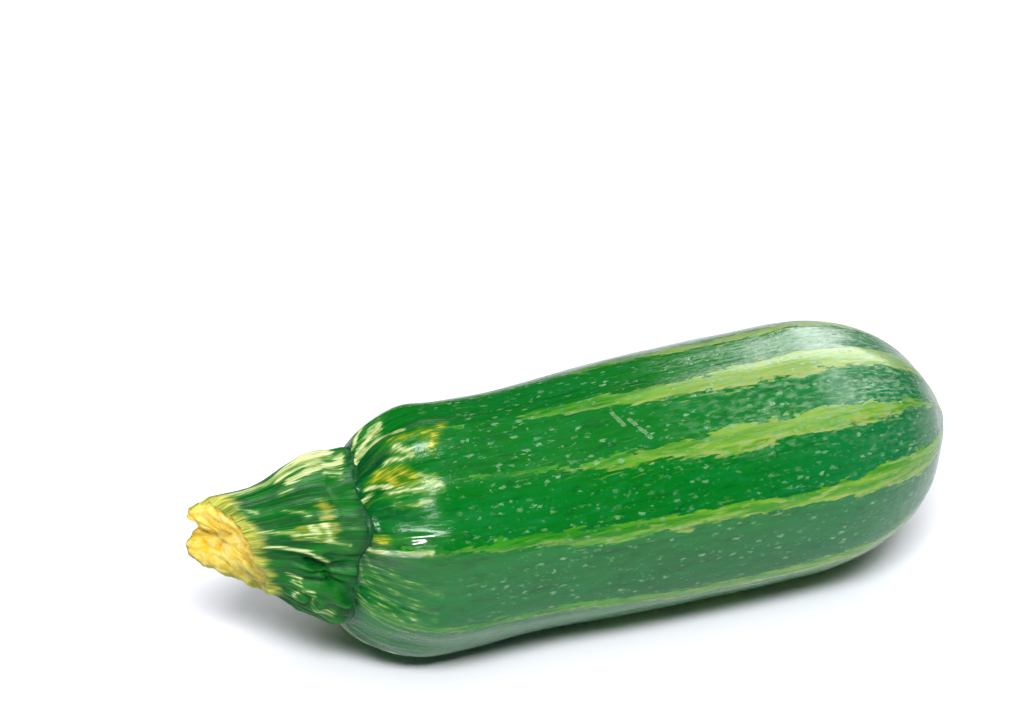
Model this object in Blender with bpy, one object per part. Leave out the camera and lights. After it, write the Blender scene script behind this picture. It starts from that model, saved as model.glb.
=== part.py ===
"""A short, thick striped zucchini as picked, lying on its side: the fruit and the stub of its stem.

Both are modelled about a straight axis along X, with the stem at its low end and the blossom end at its
high end, and one gentle bend then lifts the stem end of both. Lengths are in metres.
"""

import math

import bmesh
import bpy
from mathutils import Vector, noise

MM = 0.001

# Driving dimensions of the fruit. X starts at the pole that the shoulder's dome would have.
SHOULDER_RADIUS = 28.0 * MM
BLOSSOM_RADIUS = 29.4 * MM
FRUIT_LENGTH = 147 * MM
SHOULDER_DOME = 23 * MM
BLOSSOM_DOME = 37 * MM
WAIST_X = 43 * MM
WAIST_WIDTH = 15 * MM
WAIST_SHARE = 0.03

# The ten ridges that the light stripes follow, as angles round the axis: 0 looks along -Y, 90 is up.
# Towards the stem they all turn by the twist.
RIDGES = [104, 75, 46, 14.5, -27, -66, -104, -142, 179, 142]
TWIST = 10
TWIST_START_X = 12 * MM
TWIST_END_X = 88 * MM
RIDGE_DEPTH = 0.6 * MM
SHOULDER_RIDGE_DEPTH = 2.2 * MM
SHOULDER_RIDGE_REACH = 34 * MM

# The recess in the shoulder that the foot of the stem is sunk into
RIM_RADIUS = 16.6 * MM
RECESS_DEPTH = 2.6 * MM
RIM_ROUNDING = 0.2 * MM
GAP = 0.45 * MM
PUCKER = 1.3 * MM

# The low cone of the blossom end and the round scar that the blossom leaves on it
TIP_RADIUS = 13 * MM
TIP_RISE = 2.6 * MM
TIP_SHARPNESS = 1.4
SCAR_SHELF = 1.2
SCAR_RADIUS = 3.4 * MM
SCAR_HEIGHT = 0.5 * MM

# The stem: a stub that flares into five toes and is torn off at a slant
STEM_LENGTH = 24 * MM
STEM_RADIUS = 9.8 * MM
STEM_DROOP = 2.5 * MM
FLARE = [(0, 16.15), (4, 16.3), (8, 15.4), (11, 14.0), (13, 12.7), (15, 11.5), (17.5, 10.5)]
FLARE += [(20, 9.9), (24, 9.3), (30, 8.5), (36, 7.7), (42, 7.2)]
FLARE_LEAN = 0.286
TOES = [112, 34, -42, -128, 172]
TOE_VALLEYS = [73, 10, -92, -158, 142]
TOE_SWELL = 0.13
TOES_FADE_FROM = 4 * MM
TOES_FADE_OVER = 14 * MM
STEM_SWELL = 0.05
STEM_RIBS = 20
STEM_RIB_DEPTH = 0.35 * MM
STEM_RIBS_START = 0.15

# The torn end: its slopes, and lumps on its edge as (angle, width in degrees, height in millimetres)
TEAR_SLOPE_Z = 0.32
TEAR_SLOPE_Y = 0.62
TEAR_LUMPS = [(-118, 38, 5.0), (-58, 22, -2.5), (178, 14, -2.5), (148, 18, 0.6)]
TEAR_HOLLOW = 1.2 * MM
TEAR_LIP = 0.67
TEAR_GRAIN = 1.2 * MM
TEAR_GRAIN_SIZE = 5 * MM
TEAR_GRAIN_SEED = 3.7

# The bend of the axis at the stem end, and the rise that sets the tapering underside level
BEND_START_X = 34 * MM
BEND_SLOPE = 0.29
RISE = 0.023

# How far the flat that the fruit rests on is cut into its lowest line
REST_CUT = 0.5 * MM

# The gentle unevenness of the whole skin
UNEVEN = 0.35 * MM
UNEVEN_SIZE = 38 * MM

# How many rows of faces each stretch has, and how many faces go round
SHOULDER_ROWS = 9
BARREL_ROWS = 12
BLOSSOM_ROWS = 11
STEM_ROWS = 13
AROUND = 80


def smooth(value):
    """0 to 1 with level ends, for a value that runs from 0 to 1."""
    value = min(1.0, max(0.0, value))
    return value * value * (3 - 2 * value)


def angle_from(angle, centre):
    """The signed difference of two angles in degrees, from -180 to 180."""
    return (angle - centre + 180) % 360 - 180


def wave(angle, crests, valleys):
    """A smooth wave round the axis: 1 on each crest and -1 in each valley, for an angle in degrees."""
    marks = [((angle - crest) % 360, 1) for crest in crests]
    marks += [((angle - valley) % 360, -1) for valley in valleys]
    before, level = min(marks)
    after = 360 - max(marks)[0]
    return level * math.cos(math.pi * before / (before + after))


def between(angles):
    """The angles midway between neighbours in a list that runs downwards round the axis."""
    following = angles[1:] + angles[:1]
    return [angle - ((angle - other) % 360) / 2 for angle, other in zip(angles, following)]


def polar(point):
    """Radius and angle in degrees of a point round the X axis."""
    return math.hypot(point.y, point.z), math.degrees(math.atan2(point.z, -point.y))


def from_polar(x, radius, angle):
    turn = math.radians(angle)
    return Vector((x, -radius * math.cos(turn), radius * math.sin(turn)))


def bend(point):
    """The point moved from the straight axis to the bent one."""
    run = max(0.0, BEND_START_X - point.x)
    into = min(run, BEND_START_X)
    slope = BEND_SLOPE * into / BEND_START_X
    lift = slope * into / 2 + BEND_SLOPE * (run - into) + RISE * point.x
    tilt = math.atan(slope)
    return Vector((point.x + point.z * math.sin(tilt), point.y, lift + point.z * math.cos(tilt)))


def rim_x():
    """Where along the axis the shoulder's dome meets the recess."""
    return SHOULDER_DOME * (1 - math.sqrt(1 - (RIM_RADIUS / SHOULDER_RADIUS) ** 2))


def fruit_profile():
    """Half the outline, as (x, radius) points from the floor of the recess to the blossom's scar."""
    floor_x = rim_x() + RECESS_DEPTH
    points = [(floor_x, 0.0), (floor_x, RIM_RADIUS / 2), (floor_x, RIM_RADIUS)]
    points += [(rim_x() + RECESS_DEPTH / 2, RIM_RADIUS)]
    points += [(rim_x() + RIM_ROUNDING, RIM_RADIUS + RIM_ROUNDING / 2)]
    rim_angle = math.asin(RIM_RADIUS / SHOULDER_RADIUS)
    for row in range(1, SHOULDER_ROWS + 1):
        turn = rim_angle + (math.pi / 2 - rim_angle) * row / SHOULDER_ROWS
        points.append((SHOULDER_DOME * (1 - math.cos(turn)), SHOULDER_RADIUS * math.sin(turn)))
    barrel = FRUIT_LENGTH - SHOULDER_DOME - BLOSSOM_DOME
    for row in range(1, BARREL_ROWS):
        share = row / BARREL_ROWS
        radius = SHOULDER_RADIUS + (BLOSSOM_RADIUS - SHOULDER_RADIUS) * smooth(share)
        points.append((SHOULDER_DOME + barrel * share, radius))
    scar_angle = math.asin(SCAR_RADIUS * SCAR_SHELF / BLOSSOM_RADIUS)
    for row in range(BLOSSOM_ROWS + 1):
        turn = math.pi / 2 + (scar_angle - math.pi / 2) * row / BLOSSOM_ROWS
        radius = BLOSSOM_RADIUS * math.sin(turn)
        cone = TIP_RISE * max(0.0, 1 - radius / TIP_RADIUS) ** TIP_SHARPNESS
        points.append((FRUIT_LENGTH - BLOSSOM_DOME * (1 - math.cos(turn)) + cone, radius))
    top_x = points[-1][0] + SCAR_HEIGHT
    points += [(top_x, SCAR_RADIUS), (top_x, SCAR_RADIUS / 2), (top_x - SCAR_HEIGHT / 2, 0.0)]
    return points


def twist(x):
    """By how much the ridges have turned at a place along the axis."""
    return TWIST * (1 - smooth((x - TWIST_START_X) / (TWIST_END_X - TWIST_START_X)))


def shape_fruit(point):
    """Ridges, waist, toe-shaped recess and a little unevenness, given to a point of the turned fruit."""
    radius, angle = polar(point)
    on_shoulder = point.x < WAIST_X
    inside = (radius - RIM_RADIUS) / (SHOULDER_RADIUS - RIM_RADIUS)
    recess_share = (1 - smooth(inside)) if on_shoulder else 0.0
    waist = 1 - WAIST_SHARE * math.exp(-(((point.x - WAIST_X) / WAIST_WIDTH) ** 2))
    near_stem = 1 - smooth((point.x - rim_x()) / SHOULDER_RIDGE_REACH)
    depth = RIDGE_DEPTH + (SHOULDER_RIDGE_DEPTH - RIDGE_DEPTH) * near_stem
    fade = smooth(inside * 3) if on_shoulder else radius / BLOSSOM_RADIUS
    furrow = depth * fade * (0.5 - 0.5 * wave(angle - twist(point.x), RIDGES, between(RIDGES)))
    grain = noise.noise(from_polar(point.x, radius, angle) / UNEVEN_SIZE)
    lump = UNEVEN * grain * fade * radius / BLOSSOM_RADIUS
    x = point.x
    if on_shoulder and (inside > 0.02 or x < rim_x() + RECESS_DEPTH / 3):
        x -= PUCKER * recess_share * (0.5 - 0.5 * wave(angle, TOES, TOE_VALLEYS))
    star = 1 + recess_share * TOE_SWELL * wave(angle, TOES, TOE_VALLEYS)
    return bend(from_polar(x, radius * waist * star - furrow + lump, angle))


def flare(height):
    """The mean radius of the stem at a height above its foot."""
    height = min(FLARE[-1][0] * MM, max(0.0, height))
    for (low, low_radius), (high, high_radius) in zip(FLARE, FLARE[1:]):
        if height <= high * MM:
            share = (height - low * MM) / ((high - low) * MM)
            return (low_radius + (high_radius - low_radius) * share) * MM
    return FLARE[-1][1] * MM


def stem_profile():
    """Half the outline of the stem, as (height above the rim of the recess, radius) points."""
    foot = flare(0)
    base = -(RECESS_DEPTH - GAP)
    points = [(base, 0.0), (base, foot / 2), (base, foot * 0.98), (base / 2, foot), (0.0, foot)]
    points += [(STEM_LENGTH * row / STEM_ROWS, STEM_RADIUS) for row in range(1, STEM_ROWS + 1)]
    points += [(STEM_LENGTH, STEM_RADIUS * share) for share in (0.86, 0.66, 0.44, 0.22, 0.0)]
    return points


def tear(side, angle, share):
    """How far the torn end stands out from the stem's mean length, at a share of the way to its edge."""
    stands = TEAR_SLOPE_Z * side.z + TEAR_SLOPE_Y * side.y
    for centre, width, height in TEAR_LUMPS:
        stands += height * MM * share**2 * math.exp(-((angle_from(angle, centre) / width) ** 2))
    grain = noise.noise(Vector((TEAR_GRAIN_SEED, side.y / TEAR_GRAIN_SIZE, side.z / TEAR_GRAIN_SIZE)))
    return stands + TEAR_GRAIN * grain - TEAR_HOLLOW * smooth((1 - share) / TEAR_LIP)


def shape_stem(point):
    """Toes, ribs, the torn end and the bend, given to a point of the turned stem."""
    radius, angle = polar(point)
    along = max(0.0, point.x / STEM_LENGTH)
    if along == 0.0:
        star = 1 + TOE_SWELL * wave(angle, TOES, TOE_VALLEYS)
        side = from_polar(0.0, radius * star, angle)
        return bend(Vector((rim_x() - point.x, side.y, side.z)))
    share = radius / STEM_RADIUS
    edge = from_polar(0.0, STEM_RADIUS * share, angle)
    height = point.x + tear(edge, angle, share) * along**2
    from_toes = height - FLARE_LEAN * edge.z
    toes_left = 1 - smooth((from_toes - TOES_FADE_FROM) / TOES_FADE_OVER)
    swell = STEM_SWELL + (TOE_SWELL - STEM_SWELL) * toes_left
    rib = STEM_RIB_DEPTH * smooth(along / STEM_RIBS_START) * math.cos(math.radians(STEM_RIBS * angle))
    full = flare(from_toes) * (1 + swell * wave(angle, TOES, TOE_VALLEYS)) + rib
    side = from_polar(0.0, full * share, angle)
    return bend(Vector((rim_x() - height, side.y, side.z - STEM_DROOP * along**2)))


def turned(name, profile, shape, material, parent):
    """A closed skin turned round the X axis from a profile and then given its shape, as one object."""
    bm = bmesh.new()
    verts = [bm.verts.new((x, -radius, 0.0)) for x, radius in profile]
    edges = [bm.edges.new(pair) for pair in zip(verts, verts[1:])]
    bmesh.ops.spin(
        bm,
        geom=verts + edges,
        axis=(1, 0, 0),
        cent=(0, 0, 0),
        steps=AROUND,
        angle=2 * math.pi,
        use_merge=True,
    )
    bmesh.ops.remove_doubles(bm, verts=bm.verts, dist=0.001 * MM)
    for vert in bm.verts:
        vert.co = shape(vert.co)
    bmesh.ops.recalc_face_normals(bm, faces=bm.faces)
    if bm.calc_volume(signed=True) < 0:
        bmesh.ops.reverse_faces(bm, faces=bm.faces)
    mesh = bpy.data.meshes.new(name)
    bm.to_mesh(mesh)
    bm.free()
    mesh.shade_smooth()
    mesh.materials.append(material)
    made = bpy.data.objects.new(name, mesh)
    made.parent = parent
    bpy.context.scene.collection.objects.link(made)
    return made


def cut_rest(fruit):
    """Cuts the small flat that the fruit rests on and returns its height."""
    rest = min(vert.co.z for vert in fruit.data.vertices) + REST_CUT
    bm = bmesh.new()
    bm.from_mesh(fruit.data)
    cut = bmesh.ops.bisect_plane(
        bm,
        geom=bm.verts[:] + bm.edges[:] + bm.faces[:],
        dist=0.001 * MM,
        plane_co=(0, 0, rest),
        plane_no=(0, 0, -1),
        clear_outer=True,
    )
    rim = [item for item in cut["geom_cut"] if isinstance(item, bmesh.types.BMEdge)]
    bmesh.ops.holes_fill(bm, edges=rim)
    bmesh.ops.recalc_face_normals(bm, faces=bm.faces)
    bm.to_mesh(fruit.data)
    bm.free()
    return rest


def skin(name, colour, roughness):
    """A plain material of one colour."""
    made = bpy.data.materials.new(name)
    made.use_nodes = True
    surface = made.node_tree.nodes["Principled BSDF"]
    surface.inputs["Base Color"].default_value = (*colour, 1)
    surface.inputs["Roughness"].default_value = roughness
    surface.inputs["Metallic"].default_value = 0.0
    return made


def main():
    for old in list(bpy.data.objects):
        bpy.data.objects.remove(old)
    whole = bpy.data.objects.new("zucchini", None)
    bpy.context.scene.collection.objects.link(whole)
    fruit_skin = skin("fruit_skin", (0.01, 0.19, 0.04), 0.35)
    stem_skin = skin("stem_skin", (0.16, 0.36, 0.05), 0.6)
    fruit = turned("fruit", fruit_profile(), shape_fruit, fruit_skin, whole)
    stem = turned("stem", stem_profile(), shape_stem, stem_skin, whole)
    rest = cut_rest(fruit)
    points = [vert.co for piece in (fruit, stem) for vert in piece.data.vertices]
    middle_x = (min(p.x for p in points) + max(p.x for p in points)) / 2
    middle_y = (min(p.y for p in points) + max(p.y for p in points)) / 2
    whole.location = (-middle_x, -middle_y, -rest)


main()
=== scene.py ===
# %% [markdown]
# # A striped zucchini
#
# This lesson dresses a packed model of a short, thick zucchini, as picked and lying on its side. The packed
# model has two solids with flat faces, the fruit and the stub of its stem. They carry the right sizes, so
# each finer piece made here takes its form from the same few measures and stands in its solid's place.
# Lengths are in metres, and MM turns a number of millimetres into metres.

# %% Load the solids
import math

import bmesh
import bpy
from mathutils import Matrix, Vector, noise


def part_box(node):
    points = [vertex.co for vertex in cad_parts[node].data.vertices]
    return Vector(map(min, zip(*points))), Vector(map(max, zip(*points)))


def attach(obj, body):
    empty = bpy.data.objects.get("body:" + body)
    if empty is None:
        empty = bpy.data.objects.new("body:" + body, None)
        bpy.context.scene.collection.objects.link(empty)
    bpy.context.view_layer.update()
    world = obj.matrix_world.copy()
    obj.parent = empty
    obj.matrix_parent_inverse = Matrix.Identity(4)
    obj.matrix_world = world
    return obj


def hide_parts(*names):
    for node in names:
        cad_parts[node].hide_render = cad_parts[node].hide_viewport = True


MM = 0.001

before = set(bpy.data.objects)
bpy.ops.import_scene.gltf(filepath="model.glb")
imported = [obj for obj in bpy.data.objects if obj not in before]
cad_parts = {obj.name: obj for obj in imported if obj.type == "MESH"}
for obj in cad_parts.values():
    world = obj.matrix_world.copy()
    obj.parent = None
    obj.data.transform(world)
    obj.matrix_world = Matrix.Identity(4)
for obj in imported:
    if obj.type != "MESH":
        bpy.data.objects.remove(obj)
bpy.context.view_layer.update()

# %% [markdown]
# ## The camera
#
# The picture was taken from above and a little towards the stem, with a long lens, because the far side of
# the fruit hardly looks smaller than the near side. A camera could be aimed at a target with a constraint.
# Here its place and the direction that it looks in are written down, and a matrix turns it, because nothing
# then moves when the fruit changes.

# %% Camera
CAMERA_PLACE = Vector((-0.1869, -0.4865, 0.3904))
CAMERA_LOOKS = Vector((0.2815, 0.8, -0.5299))
LENS = 100.0

camera_data = bpy.data.cameras.new("camera")
camera_data.lens = LENS
camera_data.sensor_width = 36.0
camera = bpy.data.objects.new("camera", camera_data)
bpy.context.scene.collection.objects.link(camera)
turn = CAMERA_LOOKS.to_track_quat("-Z", "Y").to_matrix().to_4x4()
camera.matrix_world = Matrix.Translation(CAMERA_PLACE) @ turn
bpy.context.scene.camera = camera
print("camera at", CAMERA_PLACE, "with a lens of", LENS, "mm")

# %% [markdown]
# ## The measures of the fruit
#
# A zucchini is nearly round, with ten low ridges along it that swell at the shoulder, where the stem stands
# in a puckered recess. It narrows a little behind the shoulder and ends in a low cone, with the round scar
# of the blossom on it. All of this can be said about a straight axis along X, and a bend is added at the
# end.

# %% Measures of the fruit
SHOULDER_RADIUS = 28.0 * MM
BLOSSOM_RADIUS = 29.4 * MM
FRUIT_LENGTH = 147 * MM
SHOULDER_DOME = 23 * MM
BLOSSOM_DOME = 37 * MM
WAIST_X = 43 * MM
WAIST_WIDTH = 15 * MM
WAIST_SHARE = 0.03

RIDGES = [104, 75, 46, 14.5, -27, -66, -104, -142, 179, 142]
TWIST = 10
TWIST_START_X = 12 * MM
TWIST_END_X = 88 * MM
RIDGE_DEPTH = 0.6 * MM
SHOULDER_RIDGE_DEPTH = 2.2 * MM
SHOULDER_RIDGE_REACH = 34 * MM

RIM_RADIUS = 16.6 * MM
RECESS_DEPTH = 2.6 * MM
RIM_ROUNDING = 0.2 * MM
GAP = 0.45 * MM
PUCKER = 1.3 * MM
TOES = [112, 34, -42, -128, 172]
TOE_VALLEYS = [73, 10, -92, -158, 142]
TOE_SWELL = 0.13

TIP_RADIUS = 13 * MM
TIP_RISE = 2.6 * MM
TIP_SHARPNESS = 1.4
SCAR_SHELF = 1.2
SCAR_RADIUS = 3.4 * MM
SCAR_HEIGHT = 0.5 * MM

BEND_START_X = 34 * MM
BEND_SLOPE = 0.29
RISE = 0.023
UNEVEN = 0.35 * MM
UNEVEN_SIZE = 38 * MM

# %% [markdown]
# ## Going round and along
#
# The surface is easiest to think of as a place along the axis, a radius and an angle round it, where 0
# degrees looks at the viewer and 90 is up. These helpers turn points into that form and back, and make the
# smooth steps and waves that the forms need. A zucchini's ridges and toes are not spaced evenly, so the
# wave that goes round it is read between their own angles.

# %% Helpers for places on a turned form
def smooth(value):
    """0 to 1 with level ends, for a value that runs from 0 to 1."""
    value = min(1.0, max(0.0, value))
    return value * value * (3 - 2 * value)


def hump(value, centre, width):
    """1 at the centre, falling to almost nothing two widths away."""
    return math.exp(-(((value - centre) / width) ** 2))


def angle_from(angle, centre):
    """The signed difference of two angles in degrees, from -180 to 180."""
    return (angle - centre + 180) % 360 - 180


def between(angles):
    """The angles midway between neighbours in a list that runs downwards round the axis."""
    following = angles[1:] + angles[:1]
    return [angle - ((angle - other) % 360) / 2 for angle, other in zip(angles, following)]


def wave_round(crests, valleys, steps=4):
    """A function of the angle in degrees that is 1 on each crest and -1 in each valley, read from a table."""

    def exact(angle):
        marks = [((angle - crest) % 360, 1) for crest in crests]
        marks += [((angle - valley) % 360, -1) for valley in valleys]
        before, level = min(marks)
        after = 360 - max(marks)[0]
        return level * math.cos(math.pi * before / (before + after))

    table = [exact(step / steps) for step in range(360 * steps + 2)]

    def read(angle):
        place = angle % 360 * steps
        step = int(place)
        return table[step] + (table[step + 1] - table[step]) * (place - step)

    return read


ridge_wave = wave_round(RIDGES, between(RIDGES))
toe_wave = wave_round(TOES, TOE_VALLEYS)


def polar(point):
    """Radius and angle in degrees of a point round the X axis."""
    return math.hypot(point.y, point.z), math.degrees(math.atan2(point.z, -point.y))


def from_polar(x, radius, angle):
    """The point at a place along the axis, a radius and an angle."""
    turn_by = math.radians(angle)
    return Vector((x, -radius * math.cos(turn_by), radius * math.sin(turn_by)))


def level_at(knots, place):
    """The value at a place, read from a list of (place, value) with smooth steps between them."""
    if place <= knots[0][0]:
        return knots[0][1]
    for (low, before), (high, after) in zip(knots, knots[1:]):
        if place <= high:
            return before + (after - before) * smooth((place - low) / (high - low))
    return knots[-1][1]


def bend(point):
    """The point moved from the straight axis to the bent one."""
    run = max(0.0, BEND_START_X - point.x)
    into = min(run, BEND_START_X)
    slope = BEND_SLOPE * into / BEND_START_X
    lift = slope * into / 2 + BEND_SLOPE * (run - into) + RISE * point.x
    tilt = math.atan(slope)
    return Vector((point.x + point.z * math.sin(tilt), point.y, lift + point.z * math.cos(tilt)))


def rim_x():
    """Where along the axis the shoulder's dome meets the recess."""
    return SHOULDER_DOME * (1 - math.sqrt(1 - (RIM_RADIUS / SHOULDER_RADIUS) ** 2))


print("the recess starts", round(rim_x() / MM, 2), "mm along the axis")

# %% [markdown]
# ## A skin turned from a profile
#
# The fruit and the stem both start as a line of points that a spin turns once round the axis, like a pot on
# a wheel. A lathe modifier could do this too, but the points are wanted here at once, so that a function
# can move each of them. The place of each point before it is moved is kept, because the colours use it
# later.

# %% Turn a profile and shape it
def turned(name, profile, around, shape):
    """An object turned round X and then shaped, and its points' (x, radius, angle) as turned."""
    bm = bmesh.new()
    verts = [bm.verts.new((x, -radius, 0.0)) for x, radius in profile]
    edges = [bm.edges.new(pair) for pair in zip(verts, verts[1:])]
    bmesh.ops.spin(
        bm,
        geom=verts + edges,
        axis=(1, 0, 0),
        cent=(0, 0, 0),
        steps=around,
        angle=2 * math.pi,
        use_merge=True,
    )
    bmesh.ops.remove_doubles(bm, verts=bm.verts, dist=0.001 * MM)
    bm.verts.index_update()
    places = []
    for vert in bm.verts:
        radius, angle = polar(vert.co)
        places.append((vert.co.x, radius, angle))
        vert.co = shape(vert.co.x, radius, angle)
    bmesh.ops.recalc_face_normals(bm, faces=bm.faces)
    if bm.calc_volume(signed=True) < 0:
        bmesh.ops.reverse_faces(bm, faces=bm.faces)
    mesh = bpy.data.meshes.new(name)
    bm.to_mesh(mesh)
    bm.free()
    mesh.shade_smooth()
    made = bpy.data.objects.new(name, mesh)
    bpy.context.scene.collection.objects.link(made)
    print(name, "has", len(mesh.polygons), "faces")
    return made, places


# %% [markdown]
# ## The profile of the fruit
#
# Half the outline runs from the floor of the recess over its rim, up the shoulder's dome, along the barrel
# and down the blossom end to the scar. The rows are close together, under a millimetre apart, because the
# furrows and creases of the shoulder are real shape and not only a texture.

# %% Profile of the fruit
SHOULDER_ROWS = 52
BARREL_ROWS = 110
BLOSSOM_ROWS = 62
FRUIT_AROUND = 360
RECESS_ROWS = 6
SCAR_ROWS = 8
# The raised edge of the scar, as (share of its height, share of its radius), and how low its middle is
SCAR_EDGE = [(0.5, 1.06), (0.9, 1.0), (1.0, 0.92), (1.0, 0.84)]
SCAR_MIDDLE = 0.5


def fruit_profile():
    """Half the outline, as (x, radius) points from the floor of the recess to the blossom's scar."""
    floor_x = rim_x() + RECESS_DEPTH
    points = [(floor_x, RIM_RADIUS * row / RECESS_ROWS) for row in range(RECESS_ROWS + 1)]
    points += [(floor_x - RECESS_DEPTH * row / RECESS_ROWS, RIM_RADIUS) for row in range(1, RECESS_ROWS)]
    points += [(rim_x() + RIM_ROUNDING, RIM_RADIUS + RIM_ROUNDING / 2)]
    rim_angle = math.asin(RIM_RADIUS / SHOULDER_RADIUS)
    for row in range(1, SHOULDER_ROWS + 1):
        turn_by = rim_angle + (math.pi / 2 - rim_angle) * row / SHOULDER_ROWS
        points.append((SHOULDER_DOME * (1 - math.cos(turn_by)), SHOULDER_RADIUS * math.sin(turn_by)))
    barrel = FRUIT_LENGTH - SHOULDER_DOME - BLOSSOM_DOME
    for row in range(1, BARREL_ROWS):
        share = row / BARREL_ROWS
        radius = SHOULDER_RADIUS + (BLOSSOM_RADIUS - SHOULDER_RADIUS) * smooth(share)
        points.append((SHOULDER_DOME + barrel * share, radius))
    scar_angle = math.asin(SCAR_RADIUS * SCAR_SHELF / BLOSSOM_RADIUS)
    for row in range(BLOSSOM_ROWS + 1):
        turn_by = math.pi / 2 + (scar_angle - math.pi / 2) * row / BLOSSOM_ROWS
        radius = BLOSSOM_RADIUS * math.sin(turn_by)
        cone = TIP_RISE * max(0.0, 1 - radius / TIP_RADIUS) ** TIP_SHARPNESS
        points.append((FRUIT_LENGTH - BLOSSOM_DOME * (1 - math.cos(turn_by)) + cone, radius))
    foot_x = points[-1][0]
    points += [(foot_x + SCAR_HEIGHT * rise, SCAR_RADIUS * out) for rise, out in SCAR_EDGE]
    middle_x = foot_x + SCAR_HEIGHT * SCAR_MIDDLE
    points += [(middle_x, SCAR_RADIUS * row / SCAR_ROWS) for row in range(SCAR_ROWS - 2, -1, -1)]
    return points


print("the profile of the fruit has", len(fruit_profile()), "points")

# %% [markdown]
# ## Furrows towards the stem
#
# Where the skin is drawn in towards the stem it gathers into fine furrows, like cloth pulled into a ring. A
# sculptor would carve these; here a noise that is stretched along the fruit and squeezed across it gives
# furrows that run from the stem as real ones do. The noise is read on a cylinder of fixed radius, so that
# the furrows crowd together where the skin narrows.

# %% Noise that follows the skin
GRAIN_CYLINDER = 28.0
END_SLANT = 0.6
# Grains are (length in mm, width in mm, seed)
FURROW_GRAIN = (16, 1.5, 0.0)
FINE_FURROW_GRAIN = (9, 0.8, 5.0)
FINE_FURROW_SHARE = 0.5
FURROW_REACH = 26 * MM


def skin_noise(x, angle, length, width, seed=0.0):
    """A noise whose grains are so many mm long and wide, read on a cylinder of fixed radius."""
    turn_by = math.radians(angle)
    side = GRAIN_CYLINDER / width
    across = side * math.cos(turn_by)
    up = side * math.sin(turn_by) + seed
    return noise.noise(Vector((x / MM / length + seed, across, up)))


def twist(x):
    """By how much the ridges have turned at a place along the axis."""
    return TWIST * (1 - smooth((x - TWIST_START_X) / (TWIST_END_X - TWIST_START_X)))


def along_skin(x, radius):
    """How far along the skin a point is, where the ends curve in, counted from the shoulder's dome."""
    if x < SHOULDER_DOME:
        return x - (SHOULDER_RADIUS - radius) * END_SLANT
    return x + max(0.0, BLOSSOM_RADIUS - radius) * END_SLANT * smooth((x - FRUIT_LENGTH / 2) / BLOSSOM_DOME)


def gathers(x, radius, angle):
    """The furrows that gather the skin towards the stem, from about -1 to 1 at the rim."""
    start = along_skin(x, radius)
    near = 1 - smooth((x - rim_x()) / FURROW_REACH)
    coarse = skin_noise(start, angle, *FURROW_GRAIN)
    fine = skin_noise(start, angle, *FINE_FURROW_GRAIN)
    return near * (coarse + FINE_FURROW_SHARE * fine)


deepest = min(gathers(rim_x(), RIM_RADIUS, angle) for angle in range(360))
print("the deepest furrow at the rim is", round(deepest, 2), "of the full depth")

# %% [markdown]
# ## Dents and swellings
#
# A few dents in the shoulder lie deeper than the furrows, and two small swellings side by side catch the
# light. They follow no rule, so each is written down with its place and size. A dent has a smooth,
# bell-shaped section, and where two overlap the deeper one counts.

# %% Dents and swellings of the shoulder
# Each is (place in mm, angle, half length in mm, half width in degrees, depth or height in mm)
DENTS = [
    (6, 88, 3, 7, 1.6),
    (9.5, 82, 3.5, 3.5, 1.1),
    (9, 44, 5, 4, 0.5),
    (8, 15, 5, 4, 0.7),
    (12, -8, 8, 3, 0.5),
    (9, -50, 6, 5, 0.9),
    (8, -118, 5, 6, 1.0),
    (7, 155, 5, 6, 1.2),
    (9, 122, 6, 4, 0.8),
]
SWELLINGS = [(14, 31.5, 4, 1.6, 0.45), (12.5, 25, 3.5, 1.6, 0.45)]
BUMPS_END = 30 * MM


def bump_at(bumps, x, angle):
    """How deep the dents, or how high the swellings, are at a point, in mm."""
    if x > BUMPS_END:
        return 0.0
    return max(
        size * hump(x / MM, place, length) * hump(angle_from(angle, middle), 0, width)
        for place, middle, length, width, size in bumps
    )


print(len(DENTS), "dents and", len(SWELLINGS), "swellings")

# %% [markdown]
# ## The form of the skin
#
# On the real fruit the ridges are crests with flat faces between them. A point of the turned fruit is moved
# in between the crests, in at the waist, and in or out by the furrows, the dents and a slow unevenness.
# Round the stem's foot the rim of the recess is drawn up between the toes and sinks a little into a crease.
# The bend comes last, so that all the rest can be said about a straight axis.

# %% Shape of the fruit
FURROW_DEPTH = 0.34 * MM
BROAD_FOLD = 0.75 * MM
BROAD_GRAIN = (18, 5.5, 2.0)
BROAD_REACH = 30 * MM
DIMPLE = 0.12 * MM
DIMPLE_GRAIN = (9, 4.5, 9.0)
CREASE_DEPTH = 0.6 * MM
CREASE_SHARE = 0.3
CREASE_WANDER = 0.02
# The circles on which a noise is read for the crease, as (strength, seed, radius)
CREASE_CIRCLES = [(1.0, 0.0, 2.5), (0.6, 4.0, 7.0)]
# How many times sooner than the shoulder the ridges and the furrows reach their depth, away from the rim
RIDGES_START = 3
FURROWS_START = 6
AT_RIM = 0.02


def foot_star(angle):
    """How much wider than a circle the stem's foot is, and the recess round it."""
    wander = sum(
        strength * noise.noise(from_polar(seed, size, angle)) for strength, seed, size in CREASE_CIRCLES
    )
    return 1 + TOE_SWELL * toe_wave(angle) + CREASE_WANDER * wander


def relief_of(x, radius, angle, fade, open_skin):
    """How far furrows, folds, dents and unevenness move the skin out."""
    slow = noise.noise(from_polar(x, radius, angle) / UNEVEN_SIZE)
    lump = UNEVEN * slow * fade * radius / BLOSSOM_RADIUS
    lump += FURROW_DEPTH * open_skin * gathers(x, radius, angle)
    broad = skin_noise(x, angle, *BROAD_GRAIN)
    lump += BROAD_FOLD * open_skin * broad * (1 - smooth((x - rim_x()) / BROAD_REACH))
    bump = bump_at(SWELLINGS, x, angle) - bump_at(DENTS, x, angle)
    return lump + (DIMPLE * fade * skin_noise(x, angle, *DIMPLE_GRAIN) + open_skin * bump * MM)


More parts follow.
